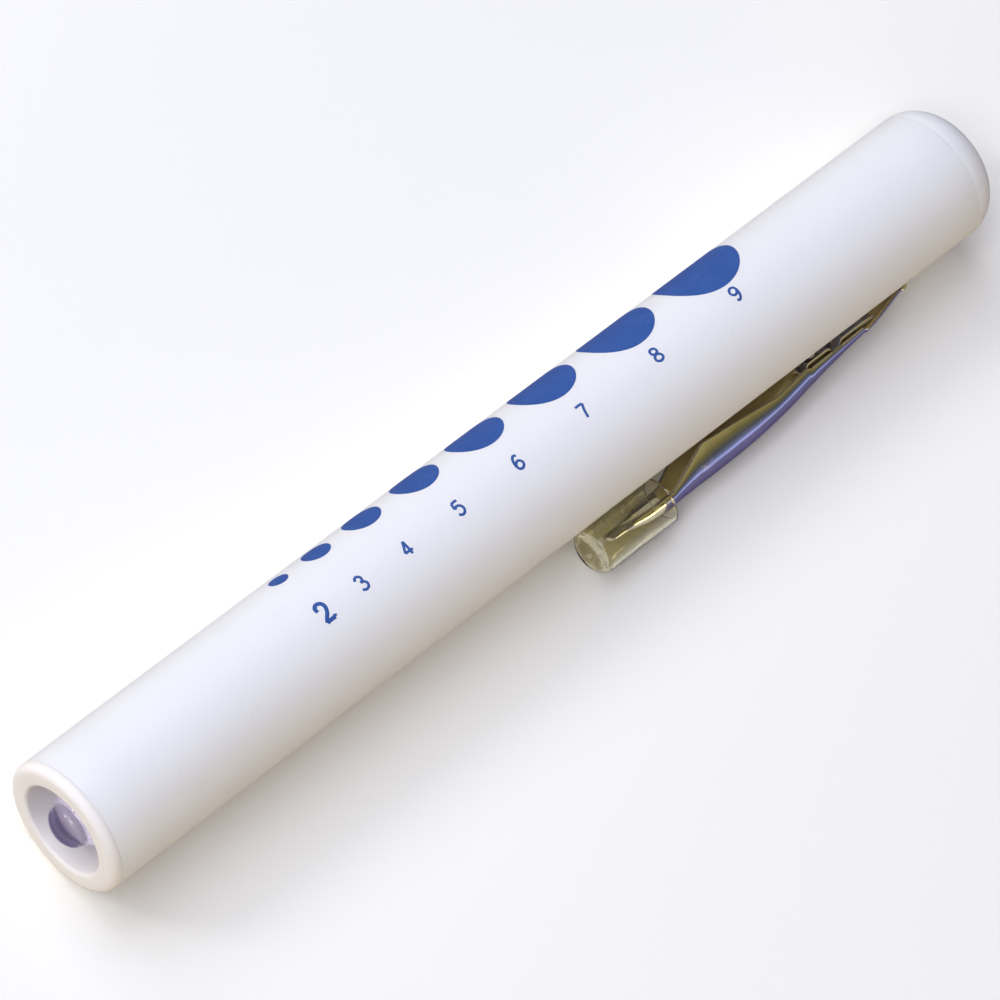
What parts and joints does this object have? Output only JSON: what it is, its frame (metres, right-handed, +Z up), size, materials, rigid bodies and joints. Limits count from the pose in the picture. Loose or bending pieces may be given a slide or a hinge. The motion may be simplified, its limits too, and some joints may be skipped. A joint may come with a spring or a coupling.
{
  "type": "diagnostic penlight",
  "caption": "Slim diagnostic penlight: recessed lens-end bulb, closed white barrel with a printed pupil gauge, and a sprung steel pocket clip that works the switch.",
  "frame": {"origin": "centre of the bounding box in plan, on the surface that the penlight lies on", "axes": "+X along the barrel from the bulb to the closed rear end, +Y away from the clip, +Z up"},
  "size_m": [0.1164, 0.018, 0.0136],
  "materials": {
    "barrel_plastic": "satin moulded",
    "nose_plastic": "satin moulded, slightly translucent",
    "gauge_ink": "blue pad-printed ink",
    "bulb_glass": "clear polished",
    "nickel_plate": "nickel plated",
    "tungsten": "drawn wire",
    "black_insulator": "black glass bead",
    "brass": "rolled sheet",
    "fibre": "vulcanised fibre",
    "cell_can": "drawn zinc",
    "card": "waxed card",
    "cell_mix": "pressed powder",
    "spring_steel": "wire",
    "clip_chrome": "bright chromed sheet",
    "clear_vinyl": "clear flexible plastic, slightly yellow"
  },
  "bodies": {
    "housing": {"barrel": "barrel_plastic", "nose_ring": "nose_plastic", "rear_plug": "barrel_plastic", "bulb_glass": "bulb_glass", "bulb_stem": "bulb_glass", "bulb_base": "nickel_plate", "bulb_insulator": "black_insulator", "bulb_contact": "nickel_plate", "lead_wire_a": "nickel_plate", "lead_wire_b": "nickel_plate", "filament": "tungsten", "bulb_collar": "brass", "contact_strip": "brass", "fibre_washer": "fibre", "front_cell_can": "cell_can", "front_cell_button": "nickel_plate", "front_cell_washer": "card", "front_cell_core": "cell_mix", "front_cell_base": "nickel_plate", "rear_cell_can": "cell_can", "rear_cell_button": "nickel_plate", "rear_cell_washer": "card", "rear_cell_core": "cell_mix", "rear_cell_base": "nickel_plate", "rear_spring": "spring_steel", "clip_root_tab": "clip_chrome"},
    "clip": {"pocket_clip": "clip_chrome", "clip_tip_sleeve": "clear_vinyl"},
    "switch": {"contact_tongue": "clip_chrome"}
  },
  "joints": [
    {"name": "clip_lift", "type": "hinge", "parent": "housing", "child": "clip", "pos_m": [0.0459, -0.00424, 0.00362], "axis": [0, -0.441, 0.8975], "range_deg": [0, 6], "stiffness_Nm_per_rad": 0.5},
    {"name": "switch_press", "type": "hinge", "parent": "clip", "child": "switch", "pos_m": [0.04095, -0.0046, 0.00345], "axis": [0, -0.441, 0.8975], "range_deg": [-3.3, 0], "stiffness_Nm_per_rad": 0.03}
  ]
}
